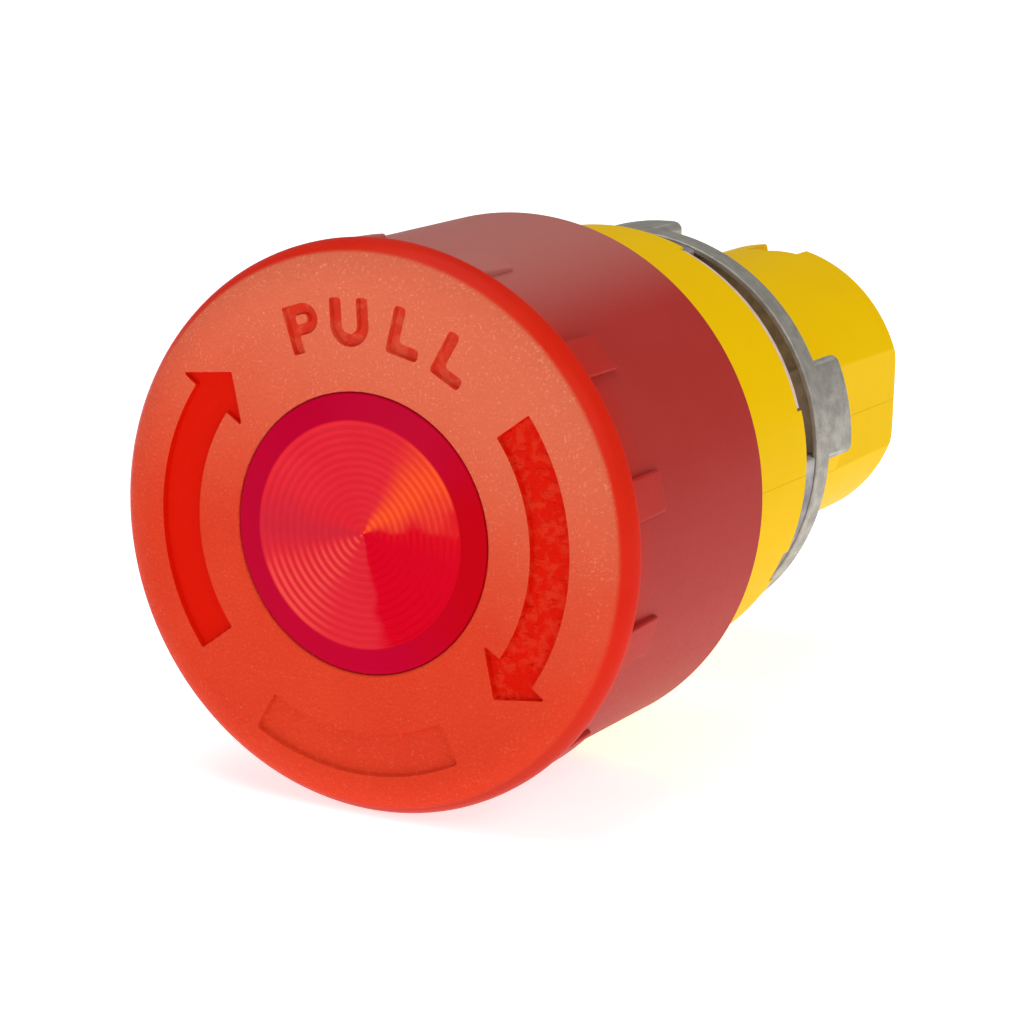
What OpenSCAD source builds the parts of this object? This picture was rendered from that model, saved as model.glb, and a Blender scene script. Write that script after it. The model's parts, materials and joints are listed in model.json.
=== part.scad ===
// Emergency stop button head: a 40 mm mushroom operator for a 22 mm panel hole.
// Push to latch; turn clockwise or pull to release. The head is translucent in the middle, for a lamp.
// Everything is built along one axis: local Z runs from the front to the rear, and axial() lays it
// along +Y, with +Z up. Local Z = 0 is the seat against the panel's front face.
// Angles are given as seen from the front, counter-clockwise from the right-hand side.

/* [Mushroom head] */
// Diameter of the lip
head_d = 40; // [38:0.5:42]
// Distance from the head's face to the panel seat
face_to_seat = 36; // [35.8:0.1:37]
// Thickness of the lip
lip_t = 2.7; // [2.5:0.1:3]
// Radius of the lip's rounded front edge
lip_round = 2.2; // [1:0.1:2.3]
// Diameter of the skirt behind the lip
skirt_front_d = 38.7; // [38.4:0.1:39]
// Diameter of the skirt at its rear edge
skirt_rear_d = 37.9; // [37.6:0.1:38.2]
// Depth of the head from its face to the skirt's rear edge
head_depth = 23.4; // [22:0.1:25]
// Number of grip pads behind the lip
grip_pads = 12; // [6:1:16]
// Depth of the arrows and the blank name panel in the face
engraving = 0.35; // [0.2:0.05:0.5]

/* [Lens] */
// Diameter of the lens
lens_d = 19.4; // [19.2:0.1:19.5]
// How far the lens stands in front of the face
lens_proud = 0.35; // [0.1:0.05:0.6]

/* [Collar and barrel] */
// Diameter of the collar that the skirt slides over
collar_d = 32.8; // [32.6:0.1:33.2]
// Diameter of the barrel that passes through the panel
barrel_d = 22.1; // [22.0:0.05:22.2]
// Length of the barrel behind the panel seat
barrel_len = 29; // [29:0.5:32]
// Width across the two flats at the barrel's rear end
flats_w = 20.6; // [20:0.1:21]

/* [Fixing ring] */
// Diameter of the fixing ring
ring_d = 30.8; // [30.6:0.1:31.2]
// Space between the panel seat and the clamp pads
panel_gap = 1.6; // [1.6:0.1:2]

/* [Motion] */
// How far the head is pressed to latch
press_travel = 5; // [4:0.5:5]

/* [Hidden] */
$fn = 72;

eps = 0.01;       // overlap of shapes that are joined
cut = 1;          // how far a cutter runs past what it cuts
slip = 0.07;      // radial clearance of a sliding or turning fit
snug = 0.03;      // clearance between pieces that don't move on each other
gap = 0.1;        // end play between pieces that move on each other

// head
face_z = -face_to_seat;
lip_z = face_z + lip_t;
skirt_end_z = face_z + head_depth;
roof_z = face_z + 3.2;
skirt_in_r = 17.6;
pad_r = 19.9;
pad_end_z = face_z + 7.4;
pad_w = 8.6;
pad_phase = 13;
pad_root = 1;     // how far the pads run into the skirt's wall
boss_r = 10.2;
boss_end_z = -23;

// lens pocket
pocket_r = lens_d / 2 + 0.09;
pocket_z = face_z + 1.7;
throat_r = 8;
throat_end_z = face_z + 3.6;
lens_face_r = 7.9;
lens_dish = 0.5;
lens_edge = 0.1;  // narrow flat round the lens's bevel and round its dish
lens_wall = 1;    // wall of the spigot behind the lens
lens_back_t = 0.6;
diffuser_t = 0.52;
seal_r = 8.9;
seal_wire = 0.34;

// face engraving
arrow_in_r = 13.1;
arrow_out_r = 16.25;
arrow_head_in_r = 11.7;
arrow_head_out_r = 17.45;
arrow_tip_r = 14.6;
arrow_tail = 38;
arrow_neck = -31.5;
arrow_tip = -41;
panel_in_r = 14;
panel_out_r = 16.8;
panel_half_angle = 28;

// stem: a hollow spindle that turns and slides with the head
stem_head_r = 7.62;
stem_r = 6.5;
stem_bore_r = 4.3;
stem_front_z = face_z + 4;
flange_r = 11;
flange_t = 1.2;
flange_end_z = boss_end_z + flange_t;
lobe_front_z = 4.6;
lobe_rear_z = 14.6;
lobe_slope = 0.18;
core_r = 5.2;
lobe_w = 56;
tail_r = 6;
tail_end_z = 28;
guide_end_z = 9;
guide_taper = 1;  // length and depth of the light guide's tapered end
clip_t = 0.8;
clip_deep = 0.5;  // depth of a clip's groove
clip_in = 0.4;    // how far a clip reaches into its groove
clip_gap_w = 3;
cap_clip_z = -29;
cap_clip_deep = 0.6;
carriage_t = 2;
carriage_r = 13.6;
carriage_z = flange_end_z + gap;
carriage_end_z = carriage_z + carriage_t;
carriage_clip_z = carriage_end_z + gap;
carriage_clip_out = 1.2;
stem_clip_out = 1.6;

// springs
twist_coil_r = 12;
twist_wire = 0.35;
press_coil_r = 10.6;
press_wire = 0.5;
coil_turns = 6;
coil_seat = 0.05; // room between a coil and what it bears on
twist_seat = 0.25;

// collar and guide
collar_r = collar_d / 2;
collar_in_r = 14.6;
collar_front_z = -23;
floor_z = -3.2;
guide_r = 8.4;
guide_front_z = -13.4;
keys = 3;
key_r = 15.4;
key_w = 2.4;
key_groove_end_z = carriage_end_z + press_travel + 1;
gasket_r = 16;
gasket_t = 0.9;
neck_boss_r = 11.3;
rim_windows = [[43, 54], [-26.5, 9]]; // middle and width of the windows in the rear rim, in degrees
skirt_seal_z = -20.9;
skirt_seal_w = 1.4;
skirt_seal_deep = 0.9;
skirt_seal_out = 0.5;
seal_lip_t = 0.5;
stem_seal_z = -11.4;
stem_seal_wire = 0.5;
stem_seal_fit = 0.06;

// barrel
barrel_r = barrel_d / 2;
front_bore_r = 8;
bore_r = 8.6;
bore_step_z = -1; // where the front bore ends, ahead of the seat
cage_z = 8;
cage_end_z = 15;
cage_in_r = 7.12;
stem_clip_z = cage_end_z + 0.3;
thread_front_z = 1.5;
thread_pitch = 1.5;
thread_turns = 7;
thread_depth = 0.4;
thread_flank = 0.35;
thread_groove = 1;
barrel_draft = 0.07; // how much the barrel's radius falls from the flats to its end
flats_z = 18.5;
notch_w = 19;
notch_angle = 87.5;
notch_r = 10.4;
notch_len = 3.5;
pawl_w = 3.9;
pawl_z = 10;
pawl_end_z = 13;
pawl_r = 7.6;
pawl_mid_z = (pawl_z + pawl_end_z) / 2;
pawl_fit = 0.05;
nose_fit = 0.08;
garter_wire = 0.34;
garter_fit = 0.02;
garter_groove = 1;
bush_z = 22;
bush_end_z = 25.4;
bush_clip_z = 25.6;
bush_clip_r = 9.2;
bush_clip_in_r = 7.4;
pusher_z = 26.8;
pusher_end_z = barrel_len - 0.3;
pusher_r = bore_r - 0.3;
pusher_hub = 1.2;
pusher_web = 1;
pusher_dogs = 4;
dog_w = 30;
dog_phase = 45;

// fixing ring and clamp washer
ring_r = ring_d / 2;
ring_bore_r = barrel_r + 0.08;
rim_t = 0.45;
rim_z = panel_gap + 2.3;
web_z = rim_z + 1.3;
web_end_z = web_z + 0.9;
hub_r = 12.9;
hub_end_z = web_end_z + 2.9;
lugs = 4;
lug_w = 29;
lug_phase = 12.5;
lug_in_r = 13.1;
lug_end_z = web_end_z + 4.3;
washer_r = ring_r - rim_t - 0.15;
washer_in_r = barrel_r + 0.2;
washer_t = 0.8;
washer_end_z = web_z - gap;
washer_z = washer_end_z - washer_t;
clamp_pads = 3;
clamp_pad_w = 49;
clamp_pad_phase = -23.5;
clamp_pad_in_r = 12.3;

// ---- shapes that repeat ----

module axial() rotate([-90, 0, 0]) children();

module span(r, z0, z1) translate([0, 0, z0]) cylinder(h = z1 - z0, r = r);

module tube(r_out, r_in, z0, z1) difference() {
    span(r_out, z0, z1);
    span(r_in, z0 - cut, z1 + cut);
}

module cone(z0, r0, z1, r1) translate([0, 0, z0]) cylinder(h = z1 - z0, r1 = r0, r2 = r1);

// a piece of a tube, centred on an angle seen from the front
module sector(r_out, r_in, z0, z1, centre, width)
    translate([0, 0, z0])
        rotate_extrude(angle = width, start = -centre - width / 2)
            translate([r_in, 0]) square([r_out - r_in, z1 - z0]);

module torus(r, wire, z) translate([0, 0, z]) rotate_extrude() translate([r, 0]) circle(wire, $fn = 24);

// each coil is one swept tube of round wire
function coil_point(r, z0, z1, turns, t) =
    [r * cos(360 * turns * t), r * sin(360 * turns * t), z0 + (z1 - z0) * t];

module coil(r, wire, z0, z1, turns, sides = 8, steps = 20) {
    n = round(turns * steps);
    lead = atan((z1 - z0) / (2 * PI * r * turns));
    rings = [for (i = [0:n]) let (p = coil_point(r, z0, z1, turns, i / n), a = 360 * turns * i / n)
        [for (k = [0:sides - 1]) let (b = 360 * k / sides, u = wire * cos(b), w = wire * sin(b))
            [p.x + u * cos(a) + w * sin(lead) * sin(a),
             p.y + u * sin(a) - w * sin(lead) * cos(a),
             p.z + w * cos(lead)]]];
    points = [for (ring = rings) each ring];
    skin = [for (i = [0:n - 1]) for (k = [0:sides - 1]) let (m = (k + 1) % sides)
        [i * sides + k, (i + 1) * sides + k, (i + 1) * sides + m, i * sides + m]];
    first = [for (k = [0:sides - 1]) k];
    last = [for (k = [sides - 1:-1:0]) n * sides + k];
    polyhedron(points, concat(skin, [first, last]), convexity = 10);
}

// an open snap ring with a gap at the top
module snap_ring(r_out, r_in, z0) difference() {
    tube(r_out, r_in, z0, z0 + clip_t);
    translate([-clip_gap_w / 2, -r_out - cut, z0 - cut])
        cube([clip_gap_w, r_out - r_in + 2 * cut, clip_t + 2 * cut]);
}

// the groove that a snap ring sits in, round a shaft
module clip_groove(r, deep, z0) tube(r + cut, r - deep, z0 - snug, z0 + clip_t + snug);

// ---- head ----

module lip_profile() difference() {
    square([head_d / 2, lip_t]);
    translate([head_d / 2 - lip_round, 0]) difference() {
        translate([0, -cut]) square([lip_round + cut, lip_round + cut]);
        translate([0, lip_round]) circle(lip_round);
    }
}

// a curved clockwise arrow, cut into the face
module arrow(turn) rotate([0, 0, turn]) {
    sector(arrow_out_r, arrow_in_r, face_z - cut, face_z + engraving,
        (arrow_tail + arrow_neck) / 2, arrow_tail - arrow_neck);
    translate([0, 0, face_z - cut]) linear_extrude(engraving + cut)
        polygon([for (p = [[arrow_head_in_r, arrow_neck], [arrow_head_out_r, arrow_neck],
            [arrow_tip_r, arrow_tip]]) [p[0] * cos(p[1]), -p[0] * sin(p[1])]]);
}

module mushroom_cap() color("red") axial() difference() {
    union() {
        translate([0, 0, face_z]) rotate_extrude() lip_profile();
        cone(lip_z - eps, skirt_front_d / 2, skirt_end_z, skirt_rear_d / 2);
        for (i = [0:grip_pads - 1])
            sector(pad_r, skirt_in_r + pad_root, lip_z - eps, pad_end_z,
                pad_phase + i * 360 / grip_pads, pad_w);
    }
    difference() {
        span(skirt_in_r, roof_z, skirt_end_z + cut);
        span(boss_r, roof_z - cut, boss_end_z);
    }
    span(pocket_r, face_z - cut, pocket_z);
    tube(seal_r + seal_wire + snug, seal_r - seal_wire - snug, pocket_z - eps, pocket_z + 2 * seal_wire);
    span(throat_r, face_z - cut, throat_end_z);
    span(stem_head_r + snug, face_z, boss_end_z + cut);
    span(stem_head_r + cap_clip_deep, cap_clip_z - snug, cap_clip_z + clip_t + snug);
    arrow(0);
    arrow(180);
    sector(panel_out_r, panel_in_r, face_z - cut, face_z + engraving, -90, 2 * panel_half_angle);
}

module lens() color("crimson") axial() difference() {
    union() {
        cone(face_z - lens_proud, lens_face_r, face_z, lens_d / 2 - lens_edge);
        span(lens_d / 2, face_z - eps, pocket_z - snug);
        span(throat_r - snug, face_z, throat_end_z - diffuser_t - 2 * snug);
    }
    cone(face_z - lens_proud - eps, lens_face_r - lens_edge, face_z - lens_proud + lens_dish, lens_edge / 2);
    span(throat_r - lens_wall, pocket_z - lens_back_t, throat_end_z);
}

module lens_seal() color("dimgray") axial() torus(seal_r, seal_wire, pocket_z + seal_wire);

module diffuser() color("white") axial()
    span(throat_r - snug, throat_end_z - diffuser_t - snug, throat_end_z - snug);

module cap_clip() color("silver") axial()
    snap_ring(stem_head_r + cap_clip_deep - pawl_fit, stem_head_r - clip_deep, cap_clip_z);

function lobe_r(z) = core_r + lobe_slope * (z - lobe_front_z);

module stem() color("ivory") axial() difference() {
    union() {
        span(stem_head_r, stem_front_z, boss_end_z + eps);
        span(flange_r, boss_end_z, flange_end_z);
        span(stem_r, flange_end_z - eps, lobe_front_z);
        span(core_r, lobe_front_z - eps, lobe_rear_z + eps);
        intersection() {
            cone(lobe_front_z, core_r, lobe_rear_z, lobe_r(lobe_rear_z));
            union() for (side = [0, 180])
                sector(stem_r + cut, core_r - cut, lobe_front_z, lobe_rear_z, side, lobe_w);
        }
        span(tail_r, lobe_rear_z, tail_end_z);
    }
    span(stem_bore_r, stem_front_z - cut, tail_end_z + cut);
    clip_groove(stem_head_r, cap_clip_deep, cap_clip_z);
    clip_groove(stem_r, clip_deep, carriage_clip_z);
    clip_groove(tail_r, clip_deep, stem_clip_z);
}

module carriage_clip() color("silver") axial()
    snap_ring(stem_r + carriage_clip_out, stem_r - clip_in, carriage_clip_z);

module stem_clip() color("silver") axial() snap_ring(tail_r + stem_clip_out, tail_r - clip_in, stem_clip_z);

module light_guide() color("lightcyan") axial() {
    span(stem_bore_r - snug, stem_front_z, guide_end_z);
    cone(guide_end_z - eps, stem_bore_r - snug, guide_end_z + guide_taper, stem_bore_r - guide_taper);
}

module contact_pusher() color("black") axial() union() {
    tube(pusher_r, tail_r + snug, pusher_z, pusher_z + pusher_web);
    tube(tail_r + pusher_hub, tail_r + snug, pusher_z, pusher_end_z);
    for (i = [0:pusher_dogs - 1])
        sector(pusher_r, tail_r + pusher_hub / 2, pusher_z + pusher_web - eps, pusher_end_z,
            dog_phase + i * 360 / pusher_dogs, dog_w);
}

module torsion_spring() color("gray") axial()
    coil(twist_coil_r, twist_wire, roof_z + twist_wire + twist_seat,
        flange_end_z - twist_wire - twist_seat, coil_turns);

module slide_carriage() color("whitesmoke") axial() union() {
    difference() {
        union() {
            span(carriage_r, carriage_z, carriage_end_z);
            for (i = [0:keys - 1])
                rotate([0, 0, i * 360 / keys]) translate([carriage_r - cut, -key_w / 2, carriage_z])
                    cube([key_r - carriage_r + cut, key_w, carriage_t]);
        }
        span(stem_r + slip, flange_end_z - cut, carriage_end_z + cut);
    }
}

module return_spring() color("gray") axial()
    coil(press_coil_r, press_wire, carriage_end_z + press_wire + coil_seat, floor_z - press_wire - coil_seat,
        coil_turns);

// ---- fixed body ----

module thread_grooves() for (i = [0:thread_turns - 1])
    translate([0, 0, thread_front_z + i * thread_pitch]) rotate_extrude()
        polygon([[barrel_r + cut, 0], [barrel_r, 0], [barrel_r - thread_depth, thread_flank],
            [barrel_r - thread_depth, thread_groove - thread_flank], [barrel_r, thread_groove],
            [barrel_r + cut, thread_groove]]);

// the barrel in one turning: round to the flats, then with a little draft to its end
module barrel() rotate_extrude()
    polygon([[0, -eps], [barrel_r, -eps], [barrel_r, flats_z],
        [barrel_r - barrel_draft, barrel_len], [0, barrel_len]]);

module operator_body() color("gold") axial() difference() {
    union() {
        tube(collar_r, collar_in_r, collar_front_z, floor_z + eps);
        span(collar_r, floor_z, 0);
        span(guide_r, guide_front_z, floor_z + eps);
        barrel();
    }
    span(stem_r + slip, guide_front_z - cut, cut);
    span(front_bore_r, bore_step_z, cage_z);
    span(bore_r, cage_z - eps, barrel_len + cut);
    // grooves that guide the carriage's keys
    for (i = [0:keys - 1]) rotate([0, 0, i * 360 / keys])
        translate([collar_in_r - cut, -key_w / 2 - gap, collar_front_z - cut])
            cube([key_r - collar_in_r + cut + gap, key_w + 2 * gap, key_groove_end_z - collar_front_z + cut]);
    // seats of the seals
    tube(collar_r + cut, collar_r - skirt_seal_deep, skirt_seal_z - snug, skirt_seal_z + skirt_seal_w + snug);
    span(stem_r + 2 * (stem_seal_wire + stem_seal_fit), stem_seal_z - stem_seal_wire - snug,
        stem_seal_z + stem_seal_wire + snug);
    tube(gasket_r, neck_boss_r, -gasket_t, cut);
    // windows in the rear rim, where the gasket's edge shows
    for (side = [0, 180]) for (w = rim_windows)
        sector(collar_r + cut, gasket_r - cut, -gasket_t + gap, cut, w[0] + side, w[1]);
    thread_grooves();
    for (side = [0, 180]) {
        rotate([0, 0, side]) translate([flats_w / 2, -barrel_r - cut, flats_z])
            cube([barrel_r, 2 * (barrel_r + cut), barrel_len]);
        sector(barrel_r + cut, notch_r, barrel_len - notch_len, barrel_len + cut,
            notch_angle + side, notch_w);
    }
    span(bush_clip_r + pawl_fit, bush_clip_z - snug, bush_clip_z + clip_t + snug);
}

module panel_gasket() color("rosybrown") axial()
    tube(gasket_r - snug, neck_boss_r + snug, -gasket_t + snug, 0);

module skirt_seal() color("dimgray") axial() union() {
    tube(collar_r + skirt_seal_out, collar_r - skirt_seal_deep + snug,
        skirt_seal_z, skirt_seal_z + skirt_seal_w);
    tube(skirt_in_r - gap, collar_r, skirt_seal_z, skirt_seal_z + seal_lip_t);
}

module stem_seal() color("dimgray") axial()
    torus(stem_r + stem_seal_wire + stem_seal_fit, stem_seal_wire, stem_seal_z);

module latch_cage() color("slategray") axial() difference() {
    tube(bore_r - snug, cage_in_r, cage_z, cage_end_z);
    translate([-bore_r - cut, -pawl_w / 2 - pawl_fit, pawl_z - pawl_fit])
        cube([2 * (bore_r + cut), pawl_w + 2 * pawl_fit, pawl_end_z - pawl_z + 2 * pawl_fit]);
    tube(bore_r + cut, pawl_r - pawl_fit, pawl_mid_z - garter_groove / 2, pawl_mid_z + garter_groove / 2);
}

// a sliding latch pawl whose nose rests on the stem's lobe
module latch_pawl(side) color("silver") axial() difference() {
    intersection() {
        span(pawl_r, pawl_z, pawl_end_z);
        translate([side > 0 ? 0 : -pawl_r, -pawl_w / 2, pawl_z]) cube([pawl_r, pawl_w, pawl_end_z - pawl_z]);
    }
    cone(lobe_front_z, core_r + nose_fit, lobe_rear_z + cut, lobe_r(lobe_rear_z + cut) + nose_fit);
}

module latch_pawl_left() latch_pawl(-1);

module latch_pawl_right() latch_pawl(1);

module pawl_spring() color("gray") axial()
    torus(pawl_r + garter_wire + garter_fit, garter_wire, pawl_mid_z);

module rear_bush() color("white") axial() tube(bore_r - snug, tail_r + slip, bush_z, bush_end_z);

module bush_clip() color("silver") axial() snap_ring(bush_clip_r, bush_clip_in_r, bush_clip_z);

// ---- panel fixing ----

module clamp_washer() color("darkgray") axial() {
    tube(washer_r, washer_in_r, washer_z, washer_end_z);
    for (i = [0:clamp_pads - 1])
        sector(washer_r, clamp_pad_in_r, panel_gap, washer_z + eps,
            clamp_pad_phase + i * 360 / clamp_pads, clamp_pad_w);
}

module fixing_ring() color("darkgray") axial() difference() {
    union() {
        tube(ring_r, ring_r - rim_t, rim_z, web_z + eps);
        span(ring_r, web_z, web_end_z);
        span(hub_r, web_z, hub_end_z);
        for (i = [0:lugs - 1])
            sector(ring_r, lug_in_r, web_end_z - eps, lug_end_z, lug_phase + i * 360 / lugs, lug_w);
    }
    span(ring_bore_r, rim_z - cut, hub_end_z + cut);
}

mushroom_cap();
lens();
lens_seal();
diffuser();
cap_clip();
stem();
carriage_clip();
stem_clip();
light_guide();
contact_pusher();
torsion_spring();
slide_carriage();
return_spring();
operator_body();
panel_gasket();
skirt_seal();
stem_seal();
latch_cage();
latch_pawl_left();
latch_pawl_right();
pawl_spring();
rear_bush();
bush_clip();
clamp_washer();
fixing_ring();
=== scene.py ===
"""An emergency stop button head for a 22 mm panel hole: red mushroom cap with a lamp lens, yellow collar
and barrel, die-cast fixing ring. Pieces are drawn in millimetres on the button's own axis (+Y points
into the panel, +Z is up) and brought to metres when they are finished."""

import json
import math

import bmesh
import bpy
from mathutils import Matrix, Vector

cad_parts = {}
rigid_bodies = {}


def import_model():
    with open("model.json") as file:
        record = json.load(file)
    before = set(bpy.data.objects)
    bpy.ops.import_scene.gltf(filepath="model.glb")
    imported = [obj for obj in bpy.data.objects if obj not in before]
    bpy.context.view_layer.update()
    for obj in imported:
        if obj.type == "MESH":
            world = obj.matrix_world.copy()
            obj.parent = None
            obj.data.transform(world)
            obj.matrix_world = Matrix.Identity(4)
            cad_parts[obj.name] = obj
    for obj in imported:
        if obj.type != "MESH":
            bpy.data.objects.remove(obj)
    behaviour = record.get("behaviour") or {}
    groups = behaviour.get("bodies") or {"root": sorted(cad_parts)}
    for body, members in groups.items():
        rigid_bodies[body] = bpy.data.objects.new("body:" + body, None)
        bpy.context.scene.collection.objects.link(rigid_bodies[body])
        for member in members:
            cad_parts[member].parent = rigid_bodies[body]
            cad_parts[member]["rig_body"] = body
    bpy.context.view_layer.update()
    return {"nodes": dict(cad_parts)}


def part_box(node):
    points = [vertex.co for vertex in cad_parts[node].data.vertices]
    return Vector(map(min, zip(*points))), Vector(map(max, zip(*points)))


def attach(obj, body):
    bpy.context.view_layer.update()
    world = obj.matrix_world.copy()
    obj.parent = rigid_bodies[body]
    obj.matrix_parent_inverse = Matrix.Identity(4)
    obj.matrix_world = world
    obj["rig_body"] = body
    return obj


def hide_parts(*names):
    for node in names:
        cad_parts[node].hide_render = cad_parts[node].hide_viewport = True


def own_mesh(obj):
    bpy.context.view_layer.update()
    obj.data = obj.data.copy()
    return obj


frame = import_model()

MM = 0.001
TURN = math.tau
MERGE = 1e-5
LATHE_STEPS = 240
RING_PITCH = 0.54
SMALL_ARC, FLAT_ANGLE, EDGE_ANGLE = 1, 1.55, 40


# ---------------------------------------------------------------- outlines

def polar(radius, degrees):
    """A point on the front view: right is +X, up is +Z."""
    return radius * math.cos(math.radians(degrees)), radius * math.sin(math.radians(degrees))


def rounded(corners, fine=6):
    """A closed outline through (x, y, radius) corners, each corner turned into an arc."""
    line = []
    for i, (x, y, radius) in enumerate(corners):
        here = Vector((x, y))
        back = Vector(corners[i - 1][:2]) - here
        on = Vector(corners[(i + 1) % len(corners)][:2]) - here
        half = back.angle(on) / 2
        if radius <= 0 or half > FLAT_ANGLE:
            line.append(here)
            continue
        reach = min(radius / math.tan(half), back.length * 0.49, on.length * 0.49)
        radius = reach * math.tan(half)
        centre = here + (back.normalized() + on.normalized()).normalized() * radius / math.sin(half)
        start = here + back.normalized() * reach - centre
        end = here + on.normalized() * reach - centre
        a = math.atan2(start.y, start.x)
        sweep = (math.atan2(end.y, end.x) - a + math.pi) % TURN - math.pi
        count = max(2, round(abs(sweep) / (math.pi / 2) * (fine if radius < SMALL_ARC else 2.5 * fine)))
        for k in range(count + 1):
            t = a + sweep * k / count
            line.append(centre + radius * Vector((math.cos(t), math.sin(t))))
    return line


def grown(loop, by):
    """The outline moved outwards by a small amount, whichever way round it runs."""
    n = len(loop)
    area = sum(loop[i - 1].x * loop[i].y - loop[i].x * loop[i - 1].y for i in range(n))
    side = 1 if area > 0 else -1
    out = []
    for i in range(n):
        a = (loop[i] - loop[i - 1]).normalized()
        b = (loop[(i + 1) % n] - loop[i]).normalized()
        normal = Vector((a.y + b.y, -a.x - b.x)) * side
        if normal.length < 1e-6:
            normal = Vector((a.y, -a.x)) * side
        normal.normalize()
        square = max(0.5, abs(normal.dot(Vector((a.y, -a.x)))))
        out.append(loop[i] + normal * by / square)
    return out


def arc(radius, start, end, step=1.5):
    """Points along an arc, in degrees."""
    count = max(2, math.ceil(abs(end - start) / step))
    return [Vector(polar(radius, start + (end - start) * k / count)) for k in range(count + 1)]


def sector_loop(r_out, r_in, centre, width):
    """The outline of a piece of a ring."""
    low, high = centre - width / 2, centre + width / 2
    return arc(r_out, low, high) + arc(r_in, high, low)


# ---------------------------------------------------------------- solids

def piece_from(bm, name, finish):
    """A finished bmesh as an object with one finish, faces outwards."""
    bmesh.ops.remove_doubles(bm, verts=bm.verts[:], dist=MERGE)
    bmesh.ops.recalc_face_normals(bm, faces=bm.faces[:])
    mesh = bpy.data.meshes.new(name)
    bm.to_mesh(mesh)
    bm.free()
    if finish:
        mesh.materials.append(finish)
    piece = bpy.data.objects.new(name, mesh)
    bpy.context.scene.collection.objects.link(piece)
    return piece


def turned(name, corners, finish, fine=6, loop=None):
    """A piece turned about the button's axis from its closed (radius, y, corner radius) section."""
    loop = loop or rounded(corners, fine)
    bm = bmesh.new()
    on_axis = {i: bm.verts.new((0, p.y, 0)) for i, p in enumerate(loop) if p.x < 1e-6}
    rings = []
    for k in range(LATHE_STEPS):
        c, s = math.cos(TURN * k / LATHE_STEPS), math.sin(TURN * k / LATHE_STEPS)
        rings.append([on_axis.get(i) or bm.verts.new((p.x * c, p.y, p.x * s))
                      for i, p in enumerate(loop)])
    for k in range(LATHE_STEPS):
        here, there = rings[k], rings[(k + 1) % LATHE_STEPS]
        for i in range(len(loop)):
            j = (i + 1) % len(loop)
            corner = []
            for v in (here[i], here[j], there[j], there[i]):
                if v not in corner:
                    corner.append(v)
            if len(corner) > 2:
                bm.faces.new(corner)
    return piece_from(bm, name, finish)


def loft(name, sections, finish=None):
    """A solid through flat sections (y, [outline, holes...]); outlines match point for point."""
    bm = bmesh.new()
    rows = [[[bm.verts.new((p.x, y, p.y)) for p in loop] for loop in loops] for y, loops in sections]
    for row, beyond in zip(rows, rows[1:]):
        for loop, other in zip(row, beyond):
            for i in range(len(loop)):
                bm.faces.new((loop[i - 1], loop[i], other[i], other[i - 1]))
    for row in (rows[0], rows[-1]):
        edges = [bm.edges.get((loop[i - 1], loop[i])) or bm.edges.new((loop[i - 1], loop[i]))
                 for loop in row for i in range(len(loop))]
        bmesh.ops.triangle_fill(bm, use_beauty=True, edges=edges)
    return piece_from(bm, name, finish)


def block(name, low, high, finish=None):
    """A square-edged cutter or key between two corners."""
    bm = bmesh.new()
    bmesh.ops.create_cube(bm, size=1)
    middle, size = (Vector(low) + Vector(high)) / 2, Vector(high) - Vector(low)
    for v in bm.verts:
        v.co = Vector(a * b for a, b in zip(v.co, size)) + middle
    return piece_from(bm, name, finish)


def settled(piece):
    """The piece with its modifiers applied."""
    graph = bpy.context.evaluated_depsgraph_get()
    mesh = bpy.data.meshes.new_from_object(piece.evaluated_get(graph))
    piece.modifiers.clear()
    piece.data = mesh
    return piece


def joined(name, pieces):
    """Several loose solids as one object."""
    bm = bmesh.new()
    finishes = []
    for p in pieces:
        offset = len(bm.faces)
        bm.from_mesh(p.data)
        bm.faces.ensure_lookup_table()
        own = p.data.materials[0] if p.data.materials else None
        if own not in finishes:
            finishes.append(own)
        for f in bm.faces[offset:]:
            f.material_index = finishes.index(own)
        bpy.data.objects.remove(p)
    mesh = bpy.data.meshes.new(name)
    bm.to_mesh(mesh)
    bm.free()
    for own in finishes:
        mesh.materials.append(own)
    piece = bpy.data.objects.new(name, mesh)
    bpy.context.scene.collection.objects.link(piece)
    return piece


def shaped(piece, tools, how="DIFFERENCE"):
    """Cuts the tools out of the piece, or welds them on."""
    tool = joined(piece.name + "_tool", tools)
    step = piece.modifiers.new("shape", "BOOLEAN")
    step.operation, step.solver, step.object = how, "EXACT", tool
    step.material_mode = "TRANSFER"
    settled(piece)
    bpy.data.objects.remove(tool)
    return piece


def edged(piece, width, segments=3):
    """Breaks the sharp edges."""
    step = piece.modifiers.new("edges", "BEVEL")
    step.width, step.segments, step.limit_method = width, segments, "ANGLE"
    step.angle_limit = math.radians(EDGE_ANGLE)
    step.use_clamp_overlap = True
    step.miter_outer = "MITER_ARC"
    return settled(piece)


def fitted(piece, node, sharp=32):
    """Smooth shading and metres, then the piece stands for its CAD node on that node's body."""
    mesh = piece.data
    mesh.polygons.foreach_set("use_smooth", [True] * len(mesh.polygons))
    mesh.set_sharp_from_angle(angle=math.radians(sharp))
    weigh = piece.modifiers.new("shading", "WEIGHTED_NORMAL")
    weigh.keep_sharp, weigh.weight = True, 100
    settled(piece)
    piece.data.transform(Matrix.Scale(MM, 4))
    piece.data.name = piece.name
    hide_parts(node)
    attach(piece, frame["nodes"][node]["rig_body"])
    return piece


# ---------------------------------------------------------------- repeats, as Geometry Nodes

STEPS_PER_COIL, STEPS_ROUND_WIRE = 48, 14


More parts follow.
